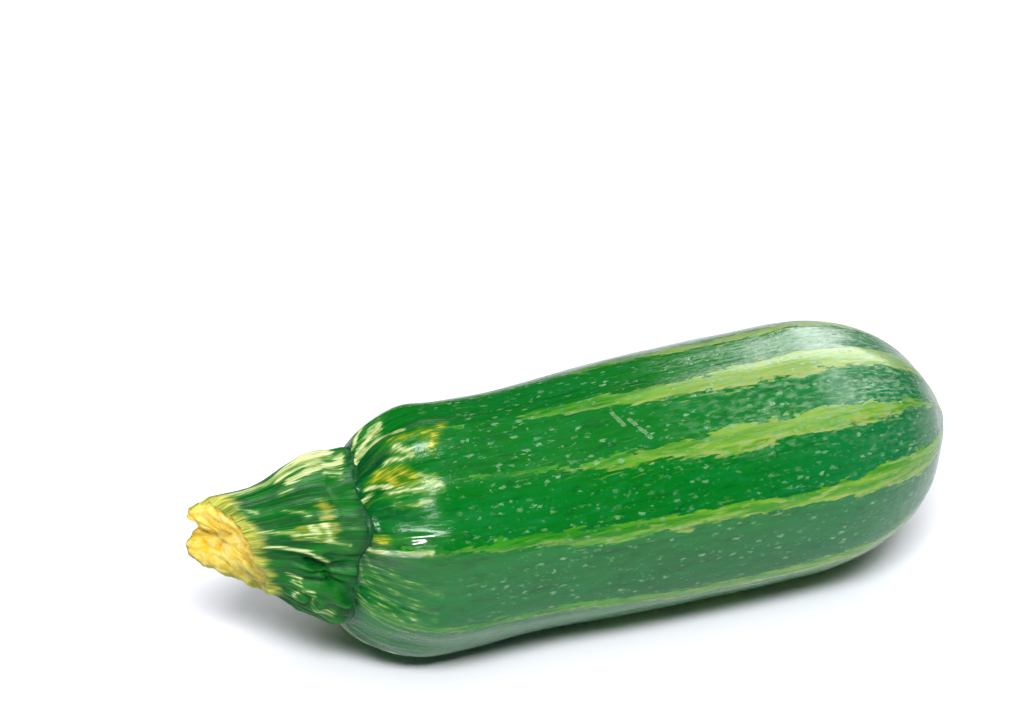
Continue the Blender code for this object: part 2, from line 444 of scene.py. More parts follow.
def shape_fruit(x, radius, angle):
    """Ridges, waist, recess and relief, given to a point of the turned fruit."""
    on_shoulder = x < WAIST_X
    from_rim = (radius - RIM_RADIUS) / (SHOULDER_RADIUS - RIM_RADIUS)
    recess_share = (1 - smooth(from_rim)) if on_shoulder else 0.0
    fade = smooth(from_rim * RIDGES_START) if on_shoulder else radius / BLOSSOM_RADIUS
    open_skin = smooth(from_rim * FURROWS_START) if on_shoulder else 1.0
    waist = 1 - WAIST_SHARE * hump(x, WAIST_X, WAIST_WIDTH)
    near_stem = 1 - smooth((x - rim_x()) / SHOULDER_RIDGE_REACH)
    depth = RIDGE_DEPTH + (SHOULDER_RIDGE_DEPTH - RIDGE_DEPTH) * near_stem
    furrow = depth * fade * (0.5 - 0.5 * ridge_wave(angle - twist(x)))
    lump = relief_of(x, radius, angle, fade, open_skin)
    if on_shoulder and (from_rim > AT_RIM or x < rim_x() + RECESS_DEPTH / 3):
        x -= PUCKER * recess_share * (0.5 - 0.5 * toe_wave(angle))
    if on_shoulder:
        x += CREASE_DEPTH * (1 - smooth(from_rim / CREASE_SHARE))
    star = 1 + recess_share * (foot_star(angle) - 1)
    return bend(from_polar(x, radius * waist * star - furrow + lump, angle))


fruit, fruit_places = turned("fruit_body", fruit_profile(), FRUIT_AROUND, shape_fruit)

# %% [markdown]
# ## Setting it in place
#
# The form was made about its own axis. The solid's box says where it belongs, so the new skin is moved to
# it: its blossom end to the solid's end, its middle to the solid's middle, and its top to the solid's top.
# The lowest line is then pressed level with the table, as a heavy fruit's is.

# %% Place the fruit
def corners(points):
    """The lowest and highest corner of some points."""
    low = Vector([min(point[axis] for point in points) for axis in range(3)])
    high = Vector([max(point[axis] for point in points) for axis in range(3)])
    return low, high


solid_low, solid_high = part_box("fruit")
form_low, form_high = corners([vert.co for vert in fruit.data.vertices])
shift = Vector(
    (
        solid_high.x - form_high.x,
        (solid_low.y + solid_high.y - form_low.y - form_high.y) / 2,
        solid_high.z - form_high.z,
    )
)


def set_down(made):
    """Moves a piece's points to their place, and lifts any that would be under the table."""
    for vert in made.data.vertices:
        vert.co += shift
        vert.co.z = max(0.0, vert.co.z)


set_down(fruit)
print("the fruit is moved by", shift)

# %% [markdown]
# ## Where the stripes run
#
# The light stripes follow the crests of the ridges. Each starts thin and broken near the stem and grows
# wider towards the blossom end, and each does so in its own way. They could be painted on an image. Here
# every point of the skin gets numbers instead: how far inside the nearest stripe it is, and on which side
# of its middle. The material tears the edges with noise, so they stay sharp at any size.

# %% Stripes of the fruit
# How wide half a stripe is, in mm, at places in mm along the axis, one list for each ridge
WIDE_TOP = [(0, 0.9), (22, 0.7), (46, 0.6), (54, 1.7), (70, 2.1), (90, 2.5), (112, 3.2)]
WIDE_TOP += [(132, 2.6), (146, 1.4)]
BROKEN = [(0, 1.3), (20, 0.3), (46, 0.4), (56, 1.0), (63, 2.1), (75, 1.9), (88, 2.8), (110, 2.3), (146, 0.9)]
LONG_LOW = [(0, 1.0), (15, 0.9), (32, 1.1), (42, 1.7), (56, 1.8), (80, 1.6), (100, 1.9)]
LONG_LOW += [(130, 2.7), (146, 1.6)]
UNDER = [(0, 0.5), (26, 1.0), (45, 1.7), (80, 2.1), (120, 2.2), (146, 1.2)]
THIN = [(0, 0.8), (20, 0.9), (50, 0.5), (80, 1.2), (120, 1.7), (146, 1.0)]
STRIPES = [THIN, WIDE_TOP, BROKEN, LONG_LOW, UNDER, BROKEN, WIDE_TOP, THIN, LONG_LOW, WIDE_TOP]
WIDEST_SHARE = 0.3


def stripe_at(x, radius, angle):
    """How far inside the nearest stripe a point is and how far above its middle, both in mm."""
    untwisted = angle - twist(x)
    offsets = [angle_from(untwisted, ridge) for ridge in RIDGES]
    nearest = min(range(len(RIDGES)), key=lambda index: abs(offsets[index]))
    across = math.radians(offsets[nearest]) * radius / MM
    spacing = 2 * math.pi * radius / MM / len(RIDGES)
    half = min(level_at(STRIPES[nearest], x / MM), spacing * WIDEST_SHARE)
    return half - abs(across), across


def paint_on(made, name, values, kind="FLOAT"):
    """Keeps a number, or a vector, for each point of a piece under a name that its material can read."""
    layer = made.data.attributes.new(name, kind, "POINT")
    if kind == "FLOAT":
        layer.data.foreach_set("value", values)
    else:
        layer.data.foreach_set("vector", [number for vector in values for number in vector])


stripes = [stripe_at(*place) for place in fruit_places]
paint_on(fruit, "inside", [inside for inside, across in stripes])
paint_on(fruit, "across", [across for inside, across in stripes])
skin_places = [
    from_polar(along_skin(x, radius) / MM, GRAIN_CYLINDER, angle)
    for x, radius, angle in fruit_places
]
paint_on(fruit, "skin", skin_places, "FLOAT_VECTOR")
paint_on(fruit, "gather", [gathers(*place) for place in fruit_places])
covered = sum(inside > 0 for inside, across in stripes) / len(stripes)
print("stripes cover", round(covered, 3), "of the points")

# %% [markdown]
# ## Marks of their own
#
# Round the stem the skin has marks that follow no rule: cream streaks that fan out from the crease, gold
# patches where two stripes start, and pale lines along the furrows. Three small spots are rubbed and shine,
# and further on there are a few scratches. Each mark is a short line of points with a width. The side that
# the picture doesn't show has marks of the same kind.

# %% Marks on the skin
# Each mark is (half width in mm, strength, points), where a point is (place in mm along the axis, angle)
CREAM_MARKS = [
    (0.8, 1.0, [(5, 106), (8, 112), (12, 118)]),
    (1.5, 1.0, [(5, 95), (8, 103), (12, 107)]),
    (1.1, 1.0, [(6.5, 97), (11, 99), (16, 92)]),
    (1.2, 0.8, [(12.6, 83), (16, 75)]),
    (1.0, 0.6, [(10.8, 78), (14, 75)]),
    (1.0, 1.0, [(7.5, 70), (10, 61)]),
    (0.8, 0.9, [(4.6, 58), (7, 62)]),
    (0.7, 0.5, [(9.8, 49), (13.7, 48), (17.5, 48)]),
    (1.0, 0.5, [(16.5, 60), (19.5, 57), (20.5, 53)]),
    (1.3, 0.6, [(9.5, 56), (14, 55), (19, 53)]),
    (0.8, 0.7, [(4.6, 23), (8, 23), (16.5, 24)]),
    (0.5, 0.1, [(6.3, -3), (8.8, -12), (12.3, -15)]),
    (0.5, 0.15, [(5.5, 18), (9.4, 0), (14.5, -5), (18.5, -9)]),
    (0.5, 0.1, [(7.5, 16), (11.5, 7), (19.3, 2)]),
    (0.4, 0.1, [(5.2, 10), (8, -6), (12, -10), (17, -16)]),
    (0.4, 0.1, [(5.5, -14), (9, -22), (14, -24)]),
    (1.2, 0.9, [(5, -60), (9, -63), (15, -56)]),
    (0.6, 0.8, [(5, -80), (12, -84)]),
    (1.3, 0.9, [(5, -120), (10, -118), (14, -108)]),
    (0.8, 0.9, [(6, -140), (12, -136)]),
    (1.3, 1.0, [(5, 176), (9, 180), (13, 174)]),
    (0.9, 0.9, [(6, 150), (14, 146)]),
    (0.9, 0.9, [(5, 132), (9, 134), (15, 129)]),
]
GOLD_MARKS = [
    (0.8, 0.35, [(12, 88), (17, 84), (24, 84), (27, 88)]),
    (1.6, 0.45, [(20, 83), (23, 82), (21, 76)]),
    (1.7, 0.9, [(9, 74), (10.8, 72), (10.8, 63)]),
    (1.5, 0.6, [(12, 72), (15, 60)]),
    (1.4, 0.6, [(10.5, 60), (15, 58), (19.5, 56)]),
    (1.1, 0.7, [(4.6, 31), (7.5, 30)]),
    (1.4, 0.8, [(7, -110), (12, -104)]),
    (1.5, 0.9, [(9, 160), (14, 158)]),
]
# Where the wax is rubbed off and the skin shines
POLISH = [
    (1.1, 1.0, [(11, 29), (17, 29.5)]),
    (0.8, 1.0, [(8, 23), (14, 23)]),
    (3.0, 0.8, [(7, -150), (16, -146)]),
]
SCRATCHES = [
    (0.5, 1.0, [(64.1, 71), (65.7, 64)]),
    (0.45, 1.0, [(67.3, 66), (70.5, 55)]),
    (0.45, 0.8, [(104, -60), (110, -54)]),
    (0.5, 0.9, [(84, 130), (88, 121)]),
    (0.45, 0.8, [(52, -96), (58, -99)]),
    (0.45, 0.8, [(31, 166), (35, 172)]),
]

print(sum(len(marks) for marks in (CREAM_MARKS, GOLD_MARKS, POLISH, SCRATCHES)), "marks are listed")

# %% [markdown]
# ## Spreading the marks over the skin
#
# A mark could be drawn on an image, or cut into the mesh. Here a point of the skin keeps how near it is to
# the middle of the nearest line, and the noise in the material breaks that into streaks. The crease of the
# recess and the dents are kept in the same way for the painted shade that darkens them, and the blossom's
# scar for its browner skin.

# %% Spread the marks over the skin
SHOULDER_MARK_RADIUS = 23.0
CREASE_WIDTH = 5 * MM
SCAR_FADE = 1.6


def parts_of(marks, radius):
    """Marks as straight parts, with what is needed to find how near a point on a cylinder is to each."""
    parts = []
    for half, strength, points in marks:
        for (start_x, start_angle), (end_x, end_angle) in zip(points, points[1:]):
            run = Vector((end_x - start_x, math.radians(angle_from(end_angle, start_angle)) * radius))
            reach = (min(start_x, end_x) - 2 * half, max(start_x, end_x) + 2 * half)
            parts.append((reach, start_x, start_angle, run, half, strength))
    return parts


def off_line(away, run):
    """How far a point is from a straight line, both counted from the line's start."""
    share = min(1.0, max(0.0, away.dot(run) / run.length_squared))
    return (away - run * share).length


def nearness(parts, radius, place, angle):
    """How near a point is to a mark: its strength on the middle line, 0 at its edge, -1 far away."""
    best = -1.0
    for (low, high), start_x, start_angle, run, half, strength in parts:
        if low < place < high:
            away = Vector((place - start_x, math.radians(angle_from(angle, start_angle)) * radius))
            best = max(best, strength * (1 - off_line(away, run) / half))
    return best


def hollow_at(x, radius, angle):
    """Where shade is painted: 1 in the crease round the stem and in the deeper dents, 0 on open skin."""
    crease = 1 - smooth((radius - RIM_RADIUS) / CREASE_WIDTH) if x < WAIST_X else 0.0
    return max(crease, min(1.0, bump_at(DENTS, x, angle)))


def scar_at(x, radius):
    """1 on the scar of the blossom, fading out just beyond it."""
    return smooth(SCAR_FADE - radius / SCAR_RADIUS) if x > WAIST_X else 0.0


for name, marks, radius in (
    ("cream", CREAM_MARKS, SHOULDER_MARK_RADIUS),
    ("gold", GOLD_MARKS, SHOULDER_MARK_RADIUS),
    ("polish", POLISH, SHOULDER_MARK_RADIUS),
    ("scratch", SCRATCHES, GRAIN_CYLINDER),
):
    parts = parts_of(marks, radius)
    paint_on(fruit, name, [nearness(parts, radius, x / MM, angle) for x, r, angle in fruit_places])
    print(len(marks), name, "marks")
# The painted shade in the crease round the stem and in the deeper dents
paint_on(fruit, "hollow", [hollow_at(*place) for place in fruit_places])
paint_on(fruit, "scar", [scar_at(x, radius) for x, radius, angle in fruit_places])

# %% [markdown]
# ## The stem
#
# The stub of the stem flares into five toes that spread on the shoulder, and it is ribbed all the way. It
# was torn off and not cut, so its end slants and shows lumps of soft yellow pith inside a thin pale rim. It
# is turned from a profile as well, and a function gives it its toes, its ribs and the tear.

# %% Measures of the stem
STEM_LENGTH = 24 * MM
STEM_RADIUS = 9.8 * MM
STEM_DROOP = 2.5 * MM
# The mean radius in mm at heights in mm above the foot
FLARE = [(0, 16.15), (4, 16.3), (8, 15.4), (11, 14.0), (13, 12.7), (15, 11.5), (17.5, 10.5)]
FLARE += [(20, 9.9), (24, 9.3), (30, 8.5), (36, 7.7), (42, 7.2)]
FLARE_LEAN = 0.286
TOES_FADE_FROM = 4 * MM
TOES_FADE_OVER = 14 * MM
STEM_SWELL = 0.05
STEM_RIBS = 20
STEM_RIB_DEPTH = 0.28 * MM
STEM_RIBS_START = 0.03
FOOT_SPREAD = 0.9 * MM
TEAR_SLOPE_Z = 0.32
TEAR_SLOPE_Y = 0.62
# Where the torn rim stands out or is torn deeper, as (angle, half width in degrees, height in mm)
TEAR_LUMPS = [(-118, 38, 5.0), (-58, 22, -2.5), (178, 14, -2.5), (148, 18, 0.6), (46, 26, 1.6), (8, 22, 2.0)]
TEAR_HOLLOW = 0.6 * MM
TEAR_LIP = 0.67
TEAR_GRAIN = 1.2 * MM
TEAR_GRAIN_SIZE = 5 * MM
TEAR_GRAIN_SEED = 3.7

STEM_SIDE_ROWS = 110
STEM_END_ROWS = 56
STEM_AROUND = 320
FOOT_ROWS = 6
FOOT_SIDE_ROWS = 5
FOOT_BEVEL = 0.98


def flare(height):
    """The mean radius of the stem at a height above its foot."""
    height = min(FLARE[-1][0] * MM, max(0.0, height))
    for (low, low_radius), (high, high_radius) in zip(FLARE, FLARE[1:]):
        if height <= high * MM:
            share = (height - low * MM) / ((high - low) * MM)
            return (low_radius + (high_radius - low_radius) * share) * MM
    return FLARE[-1][1] * MM


def stem_profile():
    """Half the outline of the stem, as (height above the rim of the recess, radius) points."""
    foot = flare(0)
    base = -(RECESS_DEPTH - GAP)
    points = [(base, foot * FOOT_BEVEL * row / FOOT_ROWS) for row in range(FOOT_ROWS + 1)]
    points += [(base * (1 - row / FOOT_SIDE_ROWS), foot) for row in range(1, FOOT_SIDE_ROWS + 1)]
    points += [(STEM_LENGTH * row / STEM_SIDE_ROWS, STEM_RADIUS) for row in range(1, STEM_SIDE_ROWS + 1)]
    points += [(STEM_LENGTH, STEM_RADIUS * (1 - row / STEM_END_ROWS)) for row in range(1, STEM_END_ROWS + 1)]
    return points


print("the profile of the stem has", len(stem_profile()), "points")

# %% [markdown]
# ## Ribs, ledge and folds
#
# The ribs are a cosine round the stem with noise on it, so that no two are alike. A ledge climbs from
# between two toes with a crevice under it, and beside them folds curl over the toes. Such folds are the
# level lines of a slow noise, like those on a map, because they then turn and join as folded skin does.

# %% Ribs, ledge and folds of the stem
RIB_WANDER = 26
RIB_GRAIN = (22, 9, 4.0)
FIBRE_GRAIN = (14, 2.2, 6.0)
CURL_TURNS = 11
CURL_GRAIN = (9, 7, 21.0)
CURL_FADES_FROM = 9
CURL_FADES_OVER = 7
# A side of the stem, as (angle of its middle, how full it is there, degrees over which it fades)
CURL_SIDE = (-30, 1.4, 60)

# The ledge and the crevice, as (height in mm, angle)
LEDGE = [(3, 4), (6, 10), (11, 18), (15, 23), (20, 29)]
LEDGE_RISE = 0.8 * MM
LEDGE_WIDTH = 5
LEDGE_MIDDLE = 11
LEDGE_REACH = 9
CREVICE = [(2, -16), (4, -11), (8, 4), (12, 15), (20, 20)]
CREVICE_DEPTH = 1.5 * MM
CREVICE_WIDTH = 4


def on_side(angle, middle, full, fade):
    """1 on one side of the stem, falling to 0 further round."""
    return smooth(full - abs(angle_from(angle, middle)) / fade)


def ledge(height, angle):
    """The ledge and the crevice under it, in metres."""
    crest = LEDGE_RISE * hump(angle_from(angle, level_at(LEDGE, height / MM)), 0, LEDGE_WIDTH)
    crevice = CREVICE_DEPTH * hump(angle_from(angle, level_at(CREVICE, height / MM)), 0, CREVICE_WIDTH)
    return hump(height / MM, LEDGE_MIDDLE, LEDGE_REACH) * (crest - crevice)


def ribs(height, angle):
    """The ribs and the fibres of the stem, each from about -1 to 1."""
    wander = RIB_WANDER * skin_noise(height, angle, *RIB_GRAIN)
    coarse = math.cos(math.radians(STEM_RIBS * angle + wander))
    return coarse, skin_noise(height, angle, *FIBRE_GRAIN)


def curls(height, angle):
    """Folds that curl over the toes, from -1 to 1."""
    slow = skin_noise(height, angle, *CURL_GRAIN)
    near = 1 - smooth((height / MM - CURL_FADES_FROM) / CURL_FADES_OVER)
    return near * on_side(angle, *CURL_SIDE) * math.sin(CURL_TURNS * slow)


highest = max(ledge(LEDGE_MIDDLE * MM, angle) for angle in range(360))
print("the ledge stands out by", round(highest / MM, 2), "mm")

# %% [markdown]
# ## The torn end
#
# Nobody cut this stem, so its end slants and its rim is torn deeper in some places than in others. The pith
# inside stands out in lobes with a cleft between them, and on those lie lumps and fine fibres. A shallow
# groove runs just inside the near side of the rim. Each of these is a height that is added along the stem.

# %% The torn end
PITH_LUMP = 1.6 * MM
PITH_LUMP_SIZE = 2.8 * MM
PITH_LUMP_SEED = 8.1
PITH_FIBRE = 0.12 * MM
PITH_FIBRE_SIZE = 0.9 * MM
PITH_FIBRE_SEED = 1.3
GROOVE_DEPTH = 1.1 * MM
GROOVE_SHARE = 0.86
GROOVE_WIDTH = 0.07
GROOVE_SIDE = (20, 1.3, 100)
# The lobes of the torn pith, as (place across, place up, radius, height) in mm, and the cleft between them
LOBES = [(2.6, -4.6, 4.4, 2.4), (5.0, 4.0, 3.4, 1.6), (-4.4, -0.6, 2.4, -1.0)]
CLEFT = [(9.0, -3.6), (5.2, -0.7), (-0.3, 2.8)]
CLEFT_HALF = 1.6
CLEFT_DEPTH = 0.3 * MM
# The rim is round, and it keeps only a part of the pith's relief
RIM_ROUNDS_FROM = 0.76
RIM_ROUNDS_BY = 1.3 * MM
RIM_KEEPS = 0.3
RIM_KEEPS_WITHIN = 8


def face_noise(side, size, seed):
    """A noise on the torn face, with grains of one size."""
    return noise.noise(Vector((seed, side.y / size, side.z / size)))


def tear(side, angle, share):
    """How far the torn end stands out from the stem's mean length, at a share of the way to its edge."""
    stands = TEAR_SLOPE_Z * side.z + TEAR_SLOPE_Y * side.y
    for centre, width, height in TEAR_LUMPS:
        stands += height * MM * share**2 * hump(angle_from(angle, centre), 0, width)
    grain = face_noise(side, TEAR_GRAIN_SIZE, TEAR_GRAIN_SEED)
    return stands + TEAR_GRAIN * grain - TEAR_HOLLOW * smooth((1 - share) / TEAR_LIP)


def cleft(side):
    """How deep in the cleft a point of the torn end is, from 0 to 1."""
    here = Vector((side.y / MM, side.z / MM))
    lines = [(Vector(start), Vector(end)) for start, end in zip(CLEFT, CLEFT[1:])]
    nearest = min(off_line(here - start, end - start) for start, end in lines)
    return smooth(1 - nearest / CLEFT_HALF)


def groove(share, angle):
    """How deep in the groove inside the near side of the rim a point is, from 0 to 1."""
    return hump(share, GROOVE_SHARE, GROOVE_WIDTH) * on_side(angle, *GROOVE_SIDE)


def pith(side, angle, share):
    """The lobes, lumps and fibres of the torn pith, the cleft in it and the groove inside the rim."""
    lump = face_noise(side, PITH_LUMP_SIZE, PITH_LUMP_SEED)
    fibre = face_noise(side, PITH_FIBRE_SIZE, PITH_FIBRE_SEED)
    stands = PITH_LUMP * abs(lump) + PITH_FIBRE * fibre
    for across, up, size, height in LOBES:
        off = math.hypot(side.y / MM - across, side.z / MM - up)
        stands += height * MM * hump(off, 0, size)
    stands -= RIM_ROUNDS_BY * max(0.0, (share - RIM_ROUNDS_FROM) / (1 - RIM_ROUNDS_FROM)) ** 2
    loose = smooth((1 - share) * RIM_KEEPS_WITHIN) * (1 - RIM_KEEPS) + RIM_KEEPS
    return loose * stands - CLEFT_DEPTH * cleft(side) - GROOVE_DEPTH * groove(share, angle)


print("the torn end has", len(LOBES), "lobes and", len(TEAR_LUMPS), "lumps on its rim")

# %% [markdown]
# ## The form of the stem
#
# A point of the turned stem is first moved along the stem to its place on the tear. Then its radius is read
# from the flare, widened to the toes near the foot and given the ribs, the folds and the ledge. The stem
# droops a little towards its end, and the same bend as the fruit's comes last.

# %% Shape of the stem
STEM_FIBRE = 0.32 * MM
TOE_FOLD = 0.8 * MM
TOE_FOLD_GRAIN = (7, 8, 12.0)
CURL = 0.55 * MM
FOOT_FADE = 4
RIM_DRAWS_IN = 0.08
RIM_DRAWS_FROM = 0.94
RIM_DRAWS_OVER = 0.06


def stem_relief(height, along, angle, toes_left):
    """How far the ribs, folds, ledge and foot move the stem's side out."""
    coarse, fine = ribs(height, angle)
    start = smooth(along / STEM_RIBS_START)
    fold = skin_noise(height, angle, *TOE_FOLD_GRAIN)
    relief = start * (STEM_RIB_DEPTH * coarse + STEM_FIBRE * fine)
    relief += start * (TOE_FOLD * fold * toes_left + CURL * curls(height, angle)) + ledge(height, angle)
    relief += FOOT_SPREAD * (1 - smooth(along * FOOT_FADE))
    return relief - RIM_DRAWS_IN * STEM_RADIUS * smooth((along - RIM_DRAWS_FROM) / RIM_DRAWS_OVER)


def shape_stem(x, radius, angle):
    """Toes, ribs, the torn end and the bend, given to a point of the turned stem."""
    along = max(0.0, x / STEM_LENGTH)
    if along == 0.0:
        side = from_polar(0.0, (radius + FOOT_SPREAD) * foot_star(angle), angle)
        return bend(Vector((rim_x() - x, side.y, side.z)))
    share = radius / STEM_RADIUS
    edge = from_polar(0.0, STEM_RADIUS * share, angle)
    height = x + (tear(edge, angle, share) + pith(edge, angle, share)) * along**2
    from_toes = height - FLARE_LEAN * edge.z
    toes_left = 1 - smooth((from_toes - TOES_FADE_FROM) / TOES_FADE_OVER)
    swell = STEM_SWELL + (TOE_SWELL - STEM_SWELL) * toes_left
    full = flare(from_toes) * (1 + swell * toe_wave(angle)) + stem_relief(height, along, angle, toes_left)
    side = from_polar(0.0, full * share, angle)
    return bend(Vector((rim_x() - height, side.y, side.z - STEM_DROOP * along**2)))


stem, stem_places = turned("stem_stub", stem_profile(), STEM_AROUND, shape_stem)
set_down(stem)

# %% [markdown]
# ## Where the stem turns yellow
#
# The green skin ends before the tear does: on the underside the stem is yellow for a centimetre, and on top
# only the torn face is. A line of heights round the stem says where the green ends, and each point keeps
# how far past that line it is.

# %% Colour places of the stem
# The height in mm where the green ends, for angles round the stem
GREEN_ENDS = [(-180, 21), (-140, 16), (-90, 13), (-40, 14.5), (-14, 17.5), (31, 21), (80, 25), (130, 27)]
GREEN_ENDS += [(180, 21)]
# Marks as on the shoulder, where a point is (height in mm, angle)
STEM_CREAM = [
    (1.9, 1.0, [(15, 103), (12.4, 106), (5.5, 107)]),
    (1.2, 1.0, [(14, 92), (10.5, 93), (2.2, 100)]),
    (1.5, 0.9, [(13, 116), (8, 120), (4, 120)]),
    (1.0, 0.8, [(29, 113), (25, 107), (18.3, 104), (14, 104)]),
    (0.6, 0.4, [(15.7, 62), (11.9, 51)]),
    (0.6, 0.5, [(24.6, 83), (20.8, 67)]),
    (0.7, 0.6, [(26, 70), (22.5, 51), (21.3, 43), (13.8, 36)]),
    (0.9, 0.7, [(11.8, 39), (10.5, 36)]),
    (0.9, 0.5, [(12.8, 34), (10.8, 33)]),
    (1.0, 0.6, [(9.3, 41), (8, 30)]),
    (0.6, 0.5, [(8, 29), (3.6, 26)]),
    (0.5, 0.6, [(19.9, 26), (16.4, 24), (12.3, 21), (6.6, 10)]),
    (0.8, 0.5, [(6.8, 90), (3.3, 89)]),
    (0.8, 0.4, [(15.4, 84), (13.7, 84)]),
    (0.5, 0.4, [(14, -6), (11.4, -11), (10.3, -20), (11.5, -30)]),
    (0.5, 0.35, [(12.5, -14), (8.2, -20), (7.4, -32)]),
    (0.6, 0.35, [(6.4, -34), (3.3, -33)]),
    (1.2, 0.9, [(13, -128), (9, -132), (4, -130)]),
    (0.6, 0.8, [(18, -90), (10, -86), (4, -84)]),
    (0.7, 0.8, [(19, 170), (12, 172), (6, 166)]),
    (0.8, 0.8, [(19, 142), (8, 145)]),
    (0.6, 0.8, [(15, -165), (6, -160)]),
]
STEM_GOLD = [
    (1.6, 0.8, [(13.5, 37), (8, 35)]),
    (1.4, 0.7, [(8.6, 60), (8.5, 48)]),
    (1.2, 0.8, [(12, 112), (8, 100)]),
    (1.3, 0.7, [(9, 172), (5, 168)]),
]

STEM_MARK_RADIUS = 13.0
PITH_PAST = 30
COARSE_RIB_SHARE = 0.6
CURL_SHARE = 1.2
# The rows from here on are the torn face and its rim
TORN_X = STEM_LENGTH * 0.97
OCHRE_ANGLE = -130
OCHRE_WIDTH = 40
OCHRE_FROM = 0.92
OCHRE_STEEPNESS = 14
OCHRE_GROOVE = 0.8
OLIVE_ANGLE = -45
OLIVE_WIDTH = 48
OLIVE_FROM = 0.3
OLIVE_STEEPNESS = 2.5
FOOT_SHADE_HEIGHT = 2.5


def stem_numbers(x, radius, angle):
    """Height in mm, distance past the end of the green, the ribs, and the share of the way to the rim."""
    share = radius / STEM_RADIUS if x > 0 else 1.0
    edge = from_polar(0.0, STEM_RADIUS * share, angle)
    along = max(0.0, x / STEM_LENGTH)
    height = (x + tear(edge, angle, share) * along**2) / MM
    past = height - level_at(GREEN_ENDS, angle)
    if x >= STEM_LENGTH:
        past = max(past, (1 - share) * PITH_PAST)
    coarse, fine = ribs(height * MM, angle)
    rib = COARSE_RIB_SHARE * coarse + fine + CURL_SHARE * curls(height * MM, angle)
    return height, past, rib, min(1.0, share)


def ochre_at(x, radius, angle):
    """Where the torn end is ochre: painted shade in its cleft and in the groove inside its rim, and ochre
    along its lower edge.
    """
    share = radius / STEM_RADIUS
    if x < TORN_X:
        return 0.0
    outer = smooth((share - OCHRE_FROM) * OCHRE_STEEPNESS)
    edge = hump(angle_from(angle, OCHRE_ANGLE), 0, OCHRE_WIDTH) * outer
    return max(cleft(from_polar(0.0, radius, angle)), OCHRE_GROOVE * groove(share, angle), edge)


def olive_at(x, radius, angle):
    """Where the torn end is olive: on its lower near side, away from its middle."""
    if x < TORN_X:
        return 0.0
    outer = smooth((radius / STEM_RADIUS - OLIVE_FROM) * OLIVE_STEEPNESS)
    return hump(angle_from(angle, OLIVE_ANGLE), 0, OLIVE_WIDTH) * outer


numbers = [stem_numbers(*place) for place in stem_places]
angles = [angle for x, radius, angle in stem_places]
places = [from_polar(row[0], GRAIN_CYLINDER, angle) for row, angle in zip(numbers, angles)]
paint_on(stem, "skin", places, "FLOAT_VECTOR")
paint_on(stem, "past", [past for height, past, rib, share in numbers])
paint_on(stem, "rib", [rib for height, past, rib, share in numbers])
paint_on(stem, "share", [share for height, past, rib, share in numbers])
for name, marks in (("cream", STEM_CREAM), ("gold", STEM_GOLD)):
    parts = parts_of(marks, STEM_MARK_RADIUS)
    near = [nearness(parts, STEM_MARK_RADIUS, row[0], angle) for row, angle in zip(numbers, angles)]
    paint_on(stem, name, near)
# Where ochre painted shade lies on the torn end, and its ochre lower edge
paint_on(stem, "ochre", [ochre_at(*place) for place in stem_places])
paint_on(stem, "olive", [olive_at(*place) for place in stem_places])
# Painted shade at the foot of the stem, where it meets the shoulder
paint_on(stem, "hollow", [smooth(1 - height / FOOT_SHADE_HEIGHT) for height, past, rib, share in numbers])
print("yellow covers", round(sum(row[1] > 0 for row in numbers) / len(numbers), 3), "of the stem's points")

# %% [markdown]
# ## Writing shader maths as sums
#
# A material is a net of nodes. Wiring each node by hand hides what is worked out, so this class wraps one
# output of a node and lets plus, minus and times add the Math nodes. One more method adds any other kind of
# node. Colours and vectors go through Mix and Vector Math nodes, because a Math node would turn a colour
# grey.

